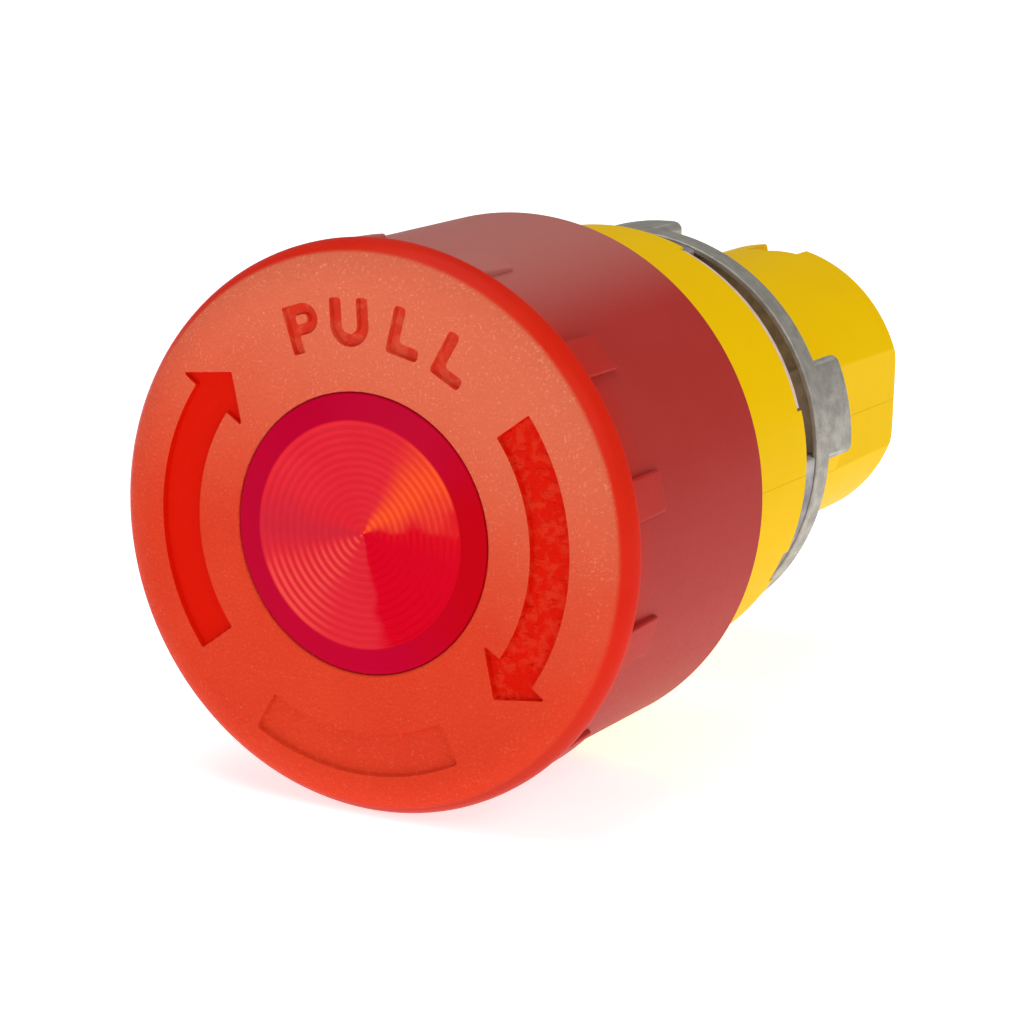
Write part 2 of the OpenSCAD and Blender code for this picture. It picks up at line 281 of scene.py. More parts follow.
class Tree:
    """A small Geometry Nodes tree with named inputs."""

    def __init__(self, name, inputs):
        self.group = bpy.data.node_groups.new(name, "GeometryNodeTree")
        face = self.group.interface
        face.new_socket("Geometry", in_out="OUTPUT", socket_type="NodeSocketGeometry")
        for label, kind, value in inputs:
            socket = face.new_socket(label, in_out="INPUT", socket_type="NodeSocket" + kind)
            if value is not None:
                socket.default_value = value
        self.source = self.add("NodeGroupInput")
        self.end = self.add("NodeGroupOutput")

    def add(self, kind, **settings):
        node = self.group.nodes.new(kind)
        for key, value in settings.items():
            setattr(node, key, value)
        return node

    def link(self, start, end):
        self.group.links.new(start, end)

    def given(self, label):
        return self.source.outputs[label]

    def sum(self, operation, a, b=None):
        """One maths node; a and b are sockets or numbers."""
        node = self.add("ShaderNodeMath", operation=operation)
        for socket, value in zip(node.inputs, (a, b)):
            if isinstance(value, (int, float)):
                socket.default_value = value
            elif value is not None:
                self.link(value, socket)
        return node.outputs[0]

    def close(self, geometry):
        """Realize Instances and Set Material end every tree."""
        real = self.add("GeometryNodeRealizeInstances")
        coat = self.add("GeometryNodeSetMaterial")
        self.link(geometry, real.inputs["Geometry"])
        self.link(real.outputs["Geometry"], coat.inputs["Geometry"])
        self.link(self.given("Finish"), coat.inputs["Material"])
        self.link(coat.outputs["Geometry"], self.end.inputs["Geometry"])
        return self.group


def block_ring_tree():
    """Blocks cut from a ring, spaced evenly round the axis."""
    t = Tree("blocks_round_the_axis", [
        ("Count", "Int", 4), ("Inner Radius", "Float", 13.0), ("Outer Radius", "Float", 15.0),
        ("Front", "Float", 0.0), ("Rear", "Float", 1.0), ("Width", "Float", 0.5), ("Phase", "Float", 0.0),
        ("Steps", "Int", 13), ("Rear Drop", "Float", 0.0), ("Finish", "Material", None)])
    cube = t.add("GeometryNodeMeshCube")
    t.link(t.given("Steps"), cube.inputs["Vertices X"])
    for label in ("Vertices Y", "Vertices Z"):
        cube.inputs[label].default_value = 2
    at = t.add("ShaderNodeSeparateXYZ")
    t.link(t.add("GeometryNodeInputPosition").outputs[0], at.inputs[0])

    def between(low, high, share):
        span = t.sum("SUBTRACT", t.given(high), t.given(low))
        return t.sum("ADD", t.given(low), t.sum("MULTIPLY", span, t.sum("ADD", share, 0.5)))

    angle = t.sum("ADD", t.given("Phase"), t.sum("MULTIPLY", t.given("Width"), at.outputs[0]))
    outward, rearward = t.sum("ADD", at.outputs[1], 0.5), t.sum("ADD", at.outputs[2], 0.5)
    drop = t.sum("MULTIPLY", t.sum("MULTIPLY", outward, rearward), t.given("Rear Drop"))
    radius = t.sum("SUBTRACT", between("Inner Radius", "Outer Radius", at.outputs[1]), drop)
    bent = t.add("ShaderNodeCombineXYZ")
    t.link(t.sum("MULTIPLY", radius, t.sum("COSINE", angle)), bent.inputs[0])
    t.link(between("Front", "Rear", at.outputs[2]), bent.inputs[1])
    t.link(t.sum("MULTIPLY", radius, t.sum("SINE", angle)), bent.inputs[2])
    move = t.add("GeometryNodeSetPosition")
    t.link(cube.outputs["Mesh"], move.inputs["Geometry"])
    t.link(bent.outputs[0], move.inputs["Position"])
    spots = t.add("GeometryNodePoints")
    t.link(t.given("Count"), spots.inputs["Count"])
    turn = t.add("ShaderNodeCombineXYZ")
    share = t.sum("DIVIDE", t.add("GeometryNodeInputIndex").outputs[0], t.given("Count"))
    t.link(t.sum("MULTIPLY", share, -TURN), turn.inputs[1])
    put = t.add("GeometryNodeInstanceOnPoints")
    t.link(spots.outputs[0], put.inputs["Points"])
    t.link(move.outputs[0], put.inputs["Instance"])
    t.link(turn.outputs[0], put.inputs["Rotation"])
    return t.close(put.outputs[0])


def coil_tree():
    """Round wire wound along the axis."""
    t = Tree("wire_coil", [
        ("Radius", "Float", 10.0), ("Wire", "Float", 0.5), ("Front", "Float", 0.0),
        ("Rear", "Float", 10.0), ("Turns", "Float", 6.0), ("Finish", "Material", None)])
    line = t.add("GeometryNodeCurveSpiral")
    line.inputs["Resolution"].default_value = STEPS_PER_COIL
    t.link(t.given("Turns"), line.inputs["Rotations"])
    t.link(t.given("Radius"), line.inputs["Start Radius"])
    t.link(t.given("Radius"), line.inputs["End Radius"])
    t.link(t.sum("SUBTRACT", t.given("Rear"), t.given("Front")), line.inputs["Height"])
    stand = t.add("GeometryNodeTransform")
    t.link(line.outputs[0], stand.inputs["Geometry"])
    stand.inputs["Rotation"].default_value = (-math.pi / 2, 0, 0)
    place = t.add("ShaderNodeCombineXYZ")
    t.link(t.given("Front"), place.inputs[1])
    t.link(place.outputs[0], stand.inputs["Translation"])
    wire = t.add("GeometryNodeCurvePrimitiveCircle")
    wire.inputs["Resolution"].default_value = STEPS_ROUND_WIRE
    t.link(t.given("Wire"), wire.inputs["Radius"])
    skin = t.add("GeometryNodeCurveToMesh")
    skin.inputs["Fill Caps"].default_value = True
    t.link(stand.outputs[0], skin.inputs["Curve"])
    t.link(wire.outputs[0], skin.inputs["Profile Curve"])
    return t.close(skin.outputs[0])


BLOCKS, COIL = block_ring_tree(), coil_tree()


def grown_by(tree, name, finish, **inputs):
    """Runs a tree once and keeps its mesh."""
    piece = bpy.data.objects.new(name, bpy.data.meshes.new(name))
    bpy.context.scene.collection.objects.link(piece)
    step = piece.modifiers.new("repeat", "NODES")
    step.node_group = tree
    values = {key.replace("_", " "): value for key, value in inputs.items()}
    for item in tree.interface.items_tree:
        if item.in_out == "INPUT":
            label = item.name
            step[item.identifier] = finish if label == "Finish" else values[label]
    settled(piece)
    bm = bmesh.new()
    bm.from_mesh(piece.data)
    bpy.data.objects.remove(piece)
    return piece_from(bm, name, finish)


def blocks(name, finish, count, r_in, r_out, front, rear, width, phase, steps=13, drop=0.0):
    """Ring blocks; width and phase in degrees, drop is how much lower the rear end is."""
    return grown_by(BLOCKS, name, finish, Count=count,
                    Inner_Radius=float(r_in), Outer_Radius=float(r_out),
                    Front=float(front), Rear=float(rear),
                    Width=math.radians(width), Phase=math.radians(phase),
                    Steps=steps, Rear_Drop=float(drop))


# ---------------------------------------------------------------- finishes

def linear(red, green, blue):
    """A paint colour given in 0-255 display values."""
    return tuple((c / 255 / 12.92) if c <= 10 else ((c / 255 + 0.055) / 1.055) ** 2.4
                 for c in (red, green, blue)) + (1.0,)


class Finish:
    """A material on the piece's own coordinates, counted in millimetres."""

    def __init__(self, name, **sockets):
        self.material = bpy.data.materials.new(name)
        self.material.use_nodes = True
        self.tree = self.material.node_tree
        self.shader = next(n for n in self.tree.nodes if n.type == "BSDF_PRINCIPLED")
        for key, value in sockets.items():
            self.shader.inputs[key.replace("_", " ")].default_value = value
        where = self.add("ShaderNodeTexCoord").outputs["Object"]
        scale = self.add("ShaderNodeVectorMath", operation="SCALE")
        self.feed(scale.inputs[0], where)
        scale.inputs["Scale"].default_value = 1 / MM
        self.at = scale.outputs[0]
        split = self.add("ShaderNodeSeparateXYZ")
        self.feed(split.inputs[0], self.at)
        self.x, self.y, self.z = split.outputs
        self.normal = None

    def add(self, kind, **settings):
        node = self.tree.nodes.new(kind)
        for key, value in settings.items():
            setattr(node, key, value)
        return node

    def feed(self, socket, value):
        if isinstance(value, bpy.types.NodeSocket):
            self.tree.links.new(value, socket)
        elif value is not None:
            socket.default_value = value

    def math(self, operation, a, b=None, clamp=False):
        node = self.add("ShaderNodeMath", operation=operation, use_clamp=clamp)
        self.feed(node.inputs[0], a)
        self.feed(node.inputs[1], b)
        return node.outputs[0]

    def radius(self):
        """Distance from the button's axis."""
        return self.math("SQRT", self.math("ADD", self.math("MULTIPLY", self.x, self.x),
                                           self.math("MULTIPLY", self.z, self.z)))

    def angle(self):
        return self.math("ARCTAN2", self.z, self.x)

    def stretch(self, x, y, z):
        """The coordinates squeezed along an axis."""
        node = self.add("ShaderNodeVectorMath", operation="MULTIPLY")
        self.feed(node.inputs[0], self.at)
        node.inputs[1].default_value = (x, y, z)
        return node.outputs[0]

    def noise(self, per_mm, detail=3.0, rough=0.55, at=None, distort=0.0):
        node = self.add("ShaderNodeTexNoise")
        self.feed(node.inputs["Vector"], at or self.at)
        node.inputs["Scale"].default_value = per_mm
        node.inputs["Detail"].default_value = detail
        node.inputs["Roughness"].default_value = rough
        node.inputs["Distortion"].default_value = distort
        return node.outputs[0]

    def cells(self, per_mm, at=None):
        node = self.add("ShaderNodeTexVoronoi")
        self.feed(node.inputs["Vector"], at or self.at)
        node.inputs["Scale"].default_value = per_mm
        return node.outputs["Distance"]

    def ramp(self, value, low, high, bottom=0.0, top=1.0):
        """An eased step from bottom to top as the value goes from low to high."""
        node = self.add("ShaderNodeMapRange", interpolation_type="SMOOTHSTEP")
        self.feed(node.inputs["Value"], value)
        for label, number in (("From Min", low), ("From Max", high), ("To Min", bottom), ("To Max", top)):
            node.inputs[label].default_value = number
        return node.outputs[0]

    def blend(self, share, a, b):
        """One colour over another."""
        node = self.add("ShaderNodeMix", data_type="RGBA")
        self.feed(node.inputs[0], share)
        self.feed(node.inputs[6], a)
        self.feed(node.inputs[7], b)
        return node.outputs[2]

    def bump(self, height, depth_mm, strength=1.0):
        node = self.add("ShaderNodeBump")
        node.inputs["Strength"].default_value = strength
        node.inputs["Distance"].default_value = depth_mm * MM
        self.feed(node.inputs["Height"], height)
        if self.normal:
            self.feed(node.inputs["Normal"], self.normal)
        self.normal = node.outputs[0]

    def done(self, colour=None, roughness=None, metallic=None):
        for label, value in (("Base Color", colour), ("Roughness", roughness), ("Metallic", metallic),
                             ("Normal", self.normal)):
            if value is not None:
                self.feed(self.shader.inputs[label], value)
        return self.material


LIP_START, LIP_END, SKIRT_START, PAD_LOW, PAD_HIGH = 19.1, 19.5, -33.6, 19.3, 19.8
LETTERING_LOW, LENS_RIM = 10.5, 7.82


def cap_red():
    """Sand-matt face, smooth rolled lip, satin skirt, all one moulding. Painted light and shade: a painted
    highlight haze paling the face to the upper right, with painted glints on the grain; painted shade on the
    lower lip; the skirt painted darker than the face as shade, and paling to pink at its top as a painted
    reflection.
    """
    f = Finish("moulded_red", IOR=1.46, Specular_IOR_Level=0.05)
    r = f.radius()
    face = f.math("MULTIPLY", f.ramp(r, LIP_START, LIP_END, 1.0, 0.0), f.ramp(f.y, -35.15, -34.75, 1.0, 0.0))
    skirt = f.ramp(f.y, SKIRT_START, SKIRT_START + 0.4)
    cloud = f.noise(0.16, 2.0)
    grain = f.noise(4.2, 3.0, 0.7)
    # The face pales towards the upper right: a painted highlight haze of the key light.
    slope = f.math("ADD", f.math("MULTIPLY", f.x, 0.25), f.math("MULTIPLY", f.z, 0.97))
    uneven = f.math("ADD", slope, f.math("MULTIPLY", cloud, 4.0))
    pale = f.math("MULTIPLY", f.ramp(uneven, -4.0, 17.0), face)
    # Light flecks, strongest where the painted haze is: painted glints on the sand grain.
    speck, cluster = f.noise(5.0, 2.0, 0.6), f.noise(0.7, 3.0)
    painted_glints = f.math("MULTIPLY", f.ramp(speck, 0.56, 0.68), f.ramp(cluster, 0.35, 0.6, 0.3, 1.0))
    matt = f.blend(cloud, linear(211, 54, 28), linear(217, 66, 36))
    matt = f.blend(pale, matt, linear(218, 105, 75))
    glint_share = f.math("MULTIPLY", painted_glints, f.ramp(pale, 0, 1, 0.12, 0.45))
    matt = f.blend(glint_share, matt, linear(240, 160, 128))
    lip = f.blend(cloud, linear(208, 28, 12), linear(216, 44, 22))
    # The lip darkens towards the bottom: painted shade.
    lip = f.blend(f.ramp(f.z, -4.0, -17.0), lip, linear(192, 48, 28))
    near_lip = f.math("MAXIMUM", f.ramp(f.y, -33.2, -29.5, 0.6, 0.0), f.ramp(r, PAD_LOW, PAD_HIGH, 0.0, 0.5))
    # The skirt is the same red painted darker than the face: painted shade on the side turned from the light.
    side = f.blend(cloud, linear(168, 46, 40), linear(176, 54, 48))
    side = f.blend(f.math("MULTIPLY", near_lip, 0.8), side, linear(196, 34, 22))
    # The top of the skirt pales towards pink: a painted reflection of the bright surround above.
    side = f.blend(f.ramp(f.z, 14.0, 19.6), side, linear(186, 112, 104))
    colour = f.blend(skirt, f.blend(face, lip, matt), side)
    f.bump(f.math("MULTIPLY", grain, face), 0.12, 1.0)
    f.bump(f.noise(2.2, 4.0, 0.6), 0.006, 0.5)
    rough = f.math("ADD", f.math("MULTIPLY", face, 0.2), f.ramp(grain, 0.3, 0.7, 0.26, 0.36))
    rough = f.math("ADD", rough, f.math("MULTIPLY", skirt, 0.12))
    return f.done(colour, rough)


def engraving_red():
    """The polished floors of the arrows and lettering; handling has scuffed the right-hand side more."""
    f = Finish("engraved_red", IOR=1.46, Specular_IOR_Level=0.02)
    scuffed = f.ramp(f.x, -9.0, 10.0)
    patch = f.noise(1.1, 5.0, 0.62, distort=0.5)
    flake = f.math("MULTIPLY", f.ramp(f.cells(2.4, at=f.stretch(0.8, 1, 1.3)), 0.05, 0.5), scuffed)
    streak = f.noise(3.0, 2.0, at=f.stretch(0.35, 1, 2.4), distort=1.2)
    scratch = f.math("MULTIPLY", f.ramp(streak, 0.60, 0.68), scuffed)
    worn = f.math("MULTIPLY", f.ramp(patch, 0.46, 0.6), scuffed)
    colour = f.blend(worn, linear(210, 20, 2), linear(212, 44, 22))
    colour = f.blend(f.math("MULTIPLY", scratch, 0.65), colour, linear(160, 6, 2))
    lettering = f.math("MULTIPLY", f.ramp(f.z, LETTERING_LOW, LETTERING_LOW + 0.6),
                       f.ramp(patch, 0.38, 0.56, 0.9, 0.35))
    colour = f.blend(lettering, colour, linear(214, 82, 56))
    f.bump(f.math("MULTIPLY", patch, f.ramp(f.x, -9.0, 10.0, 0.1, 1.0)), 0.08, 0.9)
    f.bump(flake, 0.02, 0.6)
    return f.done(colour, f.ramp(patch, 0.3, 0.7, 0.2, 0.36))


def lens_red():
    """Clear red lens, darker over its rim. The fine rings part the light into two opposite fans, painted in
    by angle: a painted highlight to the upper right, painted glints on the rings to the lower left, painted
    dark reflections to the right and on the right of the rim, painted shade to the left, and painted shade in
    the ring grooves.
    """
    f = Finish("lens_red", IOR=1.45, Specular_IOR_Level=0.02)
    rim = f.ramp(f.radius(), LENS_RIM, LENS_RIM + 0.16)
    cloud = f.noise(0.35, 2.0)
    angle = f.angle()

    def painted_light_fan(middle, half, soft):
        """A sector of the lens, in degrees, with soft sides, where light or shade is painted."""
        away = f.math("ABSOLUTE", f.math("SUBTRACT", angle, math.radians(middle)))
        return f.ramp(away, math.radians(half - soft), math.radians(half + soft), 1.0, 0.0)

    disc = f.blend(cloud, linear(214, 30, 44), linear(222, 44, 56))
    wander = f.math("SUBTRACT", f.math("MULTIPLY", cloud, 0.5), 0.25)
    angle = f.math("ADD", angle, wander)
    # Painted shade in the grooves between the fine rings.
    stripe = f.ramp(f.math("SINE", f.math("MULTIPLY", f.radius(), TURN / RING_PITCH)), -0.6, 0.9)
    groove = f.math("SUBTRACT", 1.0, stripe)
    disc = f.blend(f.math("MULTIPLY", groove, 0.22), disc, linear(176, 14, 40))
    # Painted shade on the left, a painted dark reflection to the right and a painted highlight to the upper
    # right.
    left = f.math("ADD", painted_light_fan(180, 14, 13), painted_light_fan(-180, 14, 13), clamp=True)
    disc = f.blend(f.math("MULTIPLY", left, 0.5), disc, linear(182, 36, 56))
    disc = f.blend(painted_light_fan(-30, 44, 5), disc, linear(208, 0, 30))
    disc = f.blend(painted_light_fan(38, 17, 13), disc, linear(240, 84, 40))
    # Painted shade on the rings in the upper right sector, painted glints on the rings in the lower left
    # sector.
    painted_ring_shade = f.math("MULTIPLY", painted_light_fan(30, 30, 12), groove)
    disc = f.blend(f.math("MULTIPLY", painted_ring_shade, 0.45), disc, linear(214, 24, 20))
    painted_ring_glints = f.math("MULTIPLY", painted_light_fan(-135, 20, 14), stripe)
    disc = f.blend(f.math("MULTIPLY", painted_ring_glints, 0.6), disc, linear(236, 90, 72))
    edge = f.blend(cloud, linear(178, 0, 42), linear(186, 0, 46))
    # The right of the rim: a painted dark reflection.
    edge = f.blend(painted_light_fan(-5, 45, 30), edge, linear(186, 0, 16))
    f.bump(f.noise(1.6, 3.0), 0.004, 0.5)
    return f.done(f.blend(rim, disc, edge), f.ramp(rim, 0, 1, 0.2, 0.3))


def body_yellow():
    """Satin yellow moulding with a fine parting line on each side."""
    f = Finish("moulded_yellow", IOR=1.45, Specular_IOR_Level=0.02)
    cloud = f.noise(0.12, 2.0)
    colour = f.blend(cloud, linear(240, 190, 0), linear(246, 200, 0))
    seam = f.math("MULTIPLY", f.ramp(f.math("ABSOLUTE", f.math("ADD", f.z, 0.25)), 0.02, 0.08, 1.0, 0.0),
                  f.ramp(f.math("ABSOLUTE", f.x), 9.0, 10.0))
    colour = f.blend(f.math("MULTIPLY", seam, 0.35), colour, linear(214, 158, 0))
    f.bump(seam, 0.03, 0.6)
    f.bump(f.noise(2.5, 4.0, 0.6), 0.008, 0.5)
    return f.done(colour, f.ramp(f.noise(1.2, 3.0), 0.3, 0.7, 0.34, 0.44))


def cast_zinc(name, tone, dark, rough=0.42):
    """Tumbled die-cast zinc: blotchy grey, pitted, brighter along its rubbed edges."""
    f = Finish(name, Metallic=0.5)
    blotch = f.noise(0.8, 5.0, 0.62)
    pit = f.ramp(f.cells(2.2), 0.05, 0.32)
    colour = f.blend(f.ramp(blotch, 0.32, 0.7), linear(*dark), linear(*tone))
    colour = f.blend(f.math("MULTIPLY", f.math("SUBTRACT", 1.0, pit), 0.3), colour, linear(*dark))
    worn = f.add("ShaderNodeNewGeometry").outputs["Pointiness"]
    colour = f.blend(f.ramp(worn, 0.52, 0.58, 0.0, 0.4), colour, linear(220, 218, 210))
    f.bump(f.noise(3.2, 5.0, 0.65), 0.05, 0.8)
    f.bump(pit, 0.02, 0.5)
    return f.done(colour, f.ramp(blotch, 0.3, 0.7, rough + 0.12, rough - 0.06))


def wire_steel():
    """Drawn spring wire and clip steel."""
    f = Finish("spring_steel", Metallic=1.0)
    streak = f.noise(1.4, 3.0)
    f.bump(f.noise(9.0, 3.0), 0.006, 0.6)
    colour = f.blend(streak, linear(150, 152, 156), linear(186, 188, 190))
    return f.done(colour, f.ramp(streak, 0.3, 0.7, 0.24, 0.36))


def rubber(name, tone, shine):
    """Moulded seal rubber with a dusty bloom."""
    f = Finish(name, IOR=1.45)
    bloom = f.noise(1.1, 4.0, 0.6)
    top = tuple(min(255, c + 26) for c in tone)
    f.bump(f.noise(4.0, 4.0), 0.02, 0.6)
    return f.done(f.blend(f.ramp(bloom, 0.35, 0.75), linear(*tone), linear(*top)), shine)


def engineering_plastic(name, tone, clear=0.0, shine=0.38):
    """Inner mouldings: faint flow marks and a satin skin."""
    f = Finish(name, IOR=1.49, Transmission_Weight=clear)
    flow = f.noise(0.5, 3.0, at=f.stretch(1, 0.3, 1))
    low = tuple(max(0, c - 14) for c in tone)
    f.bump(f.noise(2.6, 4.0), 0.008, 0.5)
    return f.done(f.blend(flow, linear(*low), linear(*tone)), f.ramp(flow, 0.3, 0.7, shine, shine + 0.1))


RED, ENGRAVED, LENS, YELLOW = cap_red(), engraving_red(), lens_red(), body_yellow()
ZINC = cast_zinc("cast_zinc", (178, 173, 163), (150, 146, 138))
# The washer's zinc is tinted brown: painted shade, the yellow-lit shadow in the gap between collar and fixing
# ring.
ZINC_BROWN_SHADE = cast_zinc("cast_zinc_washer_brown_shade", (168, 152, 128), (134, 116, 88), 0.48)
ZINC_FEET = cast_zinc("cast_zinc_feet", (150, 145, 150), (122, 118, 124), 0.5)
STEEL = wire_steel()
BLACK_RUBBER = rubber("seal_rubber", (24, 24, 26), 0.55)
GASKET = rubber("gasket_rubber", (206, 182, 176), 0.6)
WHITE = engineering_plastic("white_plastic", (232, 230, 222))
GREY = engineering_plastic("grey_plastic", (84, 88, 92))
BLACK = engineering_plastic("black_plastic", (30, 30, 32), shine=0.32)
CLEAR = engineering_plastic("clear_plastic", (236, 244, 246), clear=0.9, shine=0.06)

# ---------------------------------------------------------------- red head

FACE, ENGRAVING, FLARE = -36.0, 0.35, 0.1


def soft_loop(points, radius):
    """An outline with all corners eased."""
    return rounded([(p[0], p[1], radius) for p in points], fine=4)


def engraved(name, loops, ease, finish):
    """A cutter for the face: square floor, walls leaning out a little to the front, corners eased."""
    front = FACE - 0.25
    lean = FLARE * (ENGRAVING + 0.25) / ENGRAVING
    wide = [grown(loops[0], lean)] + [grown(hole, -lean) for hole in loops[1:]]
    return loft(name, [(front, [soft_loop(loop, ease) for loop in wide]),
                       (FACE + ENGRAVING, [soft_loop(loop, ease) for loop in loops])], finish)


def arrow_cutter(turn):
    """A curved clockwise arrow."""
    tail, neck, tip = 38.0, -33.0, -42.5
    line = arc(15.9, tail, neck) + [Vector(polar(17.15, neck)), Vector(polar(14.5, tip)),
                                     Vector(polar(11.7, neck))] + arc(13.1, neck, tail)
    spin = Matrix.Rotation(math.radians(turn), 2)
    return engraved("arrow", [[spin @ p for p in line]], 0.12, ENGRAVED)


STROKE, LETTER_HIGH = 0.7, 3.15


def letter_loops(letter, wide):
    """One plain round-ended capital, drawn from its lower left corner."""
    s, h, w = STROKE, LETTER_HIGH, wide
    if letter == "L":
        return [[(0, 0), (w, 0), (w, s), (s, s), (s, h), (0, h)]], 0.3
    if letter == "U":
        outer = [(0, h), (0, w * 0.45)] + [(w / 2 - w / 2 * math.cos(a), w / 2 - w / 2 * math.sin(a))
                                           for a in (math.pi * k / 12 for k in range(1, 12))]
        outer += [(w, w * 0.45), (w, h), (w - s, h), (w - s, w * 0.5)]
        q = w / 2 - s
        outer += [(w / 2 + q * math.cos(a), w / 2 - q * math.sin(a))
                  for a in (math.pi * k / 12 for k in range(1, 12))]
        outer += [(s, w * 0.5), (s, h)]
        return [outer], 0.2
    bowl, low = h * 0.62 / 2, h * 0.38
    outer = [(0, 0), (s, 0), (s, low), (w - bowl, low)]
    outer += [(w - bowl + bowl * math.cos(a), low + bowl + bowl * math.sin(a))
              for a in (math.pi * (k / 12 - 0.5) for k in range(1, 12))]
    outer += [(w - bowl, h), (0, h)]
    b = bowl - s * 0.82
    hole = [(s, low + bowl - b), (w - bowl, low + bowl - b)]
    hole += [(w - bowl + b * math.cos(a), low + bowl + b * math.sin(a))
             for a in (math.pi * (k / 8 - 0.5) for k in range(1, 8))]
    hole += [(w - bowl, low + bowl + b), (s, low + bowl + b)]
    return [outer, hole], 0.12


def letter_cutter(letter, degrees, wide, foot=12.95):
    """A letter standing on the inner circle, its middle at an angle seen from the front."""
    loops, ease = letter_loops(letter, wide)
    up = Vector(polar(1, degrees))
    right = Vector((up.y, -up.x))
    placed = [[right * (x - wide / 2) + up * (foot + z) for x, z in loop] for loop in loops]
    return engraved("letter", placed, ease, ENGRAVED)


HEAD_R, LIP_WIDE, LIP_DEEP, LIP_POWER = 20, 2.8, 2.4, 1.85
LIP_REAR, SKIRT_REAR, SKIRT_BORE, CAP_INNER = -33.3, -12.6, 17.6, -32.8
LENS_SEAT_R, LENS_SEAT, DIFFUSER_R, DIFFUSER_SEAT = 9.79, -34.3, 8, -32.4
HUB_R, HUB_BORE, HUB_REAR = 10.2, 7.65, -23
LETTERS = (("P", 109.9, 2.4), ("U", 95.4, 2.8), ("L", 78.0, 2.3), ("L", 62.3, 2.3))


def lip_curve():
    """The rolled edge of the face, flatter than a round one."""
    turns = [math.pi / 2 * k / 16 for k in range(17)]
    return [(HEAD_R - LIP_WIDE + LIP_WIDE * math.sin(t) ** (2 / LIP_POWER),
             FACE + LIP_DEEP - LIP_DEEP * math.cos(t) ** (2 / LIP_POWER), 0) for t in turns]


cap = turned("cap", [
    (LENS_SEAT_R, LENS_SEAT, 0.1), (LENS_SEAT_R, FACE, 0.18), *lip_curve(), (HEAD_R, LIP_REAR, 0.2),
    (19.3, LIP_REAR, 0.12), (18.95, SKIRT_REAR, 0.3), (SKIRT_BORE, SKIRT_REAR, 0.2),
    (SKIRT_BORE, CAP_INNER, 0.5), (HUB_R, CAP_INNER, 0.4), (HUB_R, HUB_REAR, 0.2), (HUB_BORE, HUB_REAR, 0.15),
    (HUB_BORE, DIFFUSER_SEAT, 0), (DIFFUSER_R, DIFFUSER_SEAT, 0), (DIFFUSER_R, LENS_SEAT, 0.1)], RED)
pads = edged(blocks("pads", RED, 12, 18.4, 19.9, -33.6, -28.6, 8.6, 13, steps=4, drop=0.3), 0.2, 3)
shaped(cap, [pads], "UNION")
shaped(cap, [arrow_cutter(0), arrow_cutter(180)]
       + [letter_cutter(*spec) for spec in LETTERS]
       + [engraved("name_panel", [sector_loop(16.8, 14, -90, 56)], 0.4, RED)])
fitted(cap, "mushroom_cap")

LENS_FRONT, DISH, RING_DEEP = -36.35, 0.5, 0.055


def dished_lens():
    """The lens section: a shallow dish turned with fine scalloped rings."""
    out = 7.8
    line = []
    count = round(out / RING_PITCH)
    for k in range(count * 6 + 1):
        t = k / 6
        r = out * t / count
        scallop = 1 - (2 * (t % 1) - 1) ** 2
        line.append(Vector((r, LENS_FRONT + DISH * (1 - r / out) + RING_DEEP * scallop)))
    hollow_r, hollow = 7, -34.9
    line += rounded([(7.92, LENS_FRONT, 0.06), (9.68, FACE, 0.08), (9.76, -35.85, 0.05),
                     (9.76, -34.33, 0.1), (7.97, -34.33, 0), (7.97, -33, 0.1), (hollow_r, -33, 0),
                     (hollow_r, hollow, 0.2), (0, hollow, 0)])[:-1]
    return line + [Vector((0, hollow))]


fitted(turned("lens_disc", None, LENS, loop=dished_lens()), "lens", sharp=50)


def round_ring(name, radius, wire, y, finish):
    """A ring of round section."""
    loop = [Vector((radius + wire * math.cos(t), y + wire * math.sin(t)))
            for t in (TURN * k / 16 for k in range(16))]
    return turned(name, None, finish, loop=loop)


fitted(round_ring("lens_ring_seal", 8.9, 0.34, -33.96, BLACK_RUBBER), "lens_seal")
disc = [(0, -32.95, 0), (7.97, -32.95, 0.1), (7.97, -32.43, 0.1), (0, -32.43, 0)]
fitted(turned("lamp_diffuser", disc, WHITE), "diffuser")


def snap_ring(name, r_out, r_in, y, node):
    """A flat clip with a gap at the top and rounded tips."""
    gap = math.degrees(3 / r_in)
    low, high = 90 + gap / 2, 450 - gap / 2
    loop = soft_loop(arc(r_out, low, high, 3) + arc(r_in, high, low, 3), 0.25)
    clip = loft(name, [(y, [loop]), (y + 0.8, [loop])], STEEL)
    fitted(edged(clip, 0.08, 2), node)


snap_ring("cap_snap_ring", 8.17, 7.12, -29, "cap_clip")
snap_ring("carriage_snap_ring", 7.7, 6.1, -19.6, "carriage_clip")
snap_ring("stem_snap_ring", 7.6, 5.6, 15.3, "stem_clip")
snap_ring("bush_snap_ring", 9.2, 7.4, 25.6, "bush_clip")

LOBES_FRONT, LOBES_REAR, LOBE_WIDTH = 4.6, 14.6, 56
spindle = turned("spindle", [
    (4.3, -32, 0.1), (7.62, -32, 0.15), (7.62, -29.03, 0), (7.02, -29.03, 0), (7.02, -28.17, 0),
    (7.62, -28.17, 0), (7.62, -23, 0), (11, -23, 0.15), (11, -21.8, 0.15), (6.5, -21.8, 0), (6.5, -19.63, 0),
    (6, -19.63, 0), (6, -18.77, 0), (6.5, -18.77, 0), (6.5, LOBES_FRONT, 0.1), (5.2, LOBES_FRONT, 0),
    (5.2, LOBES_REAR, 0), (6, LOBES_REAR, 0), (6, 15.27, 0), (5.5, 15.27, 0), (5.5, 16.13, 0), (6, 16.13, 0),
    (6, 28, 0.2), (4.3, 28, 0.2)], WHITE)
lobes = [loft("lobe", [(LOBES_FRONT, [sector_loop(5.21, 4.5, side, LOBE_WIDTH)]),
                       (LOBES_REAR, [sector_loop(7, 4.5, side, LOBE_WIDTH)])], WHITE) for side in (0, 180)]
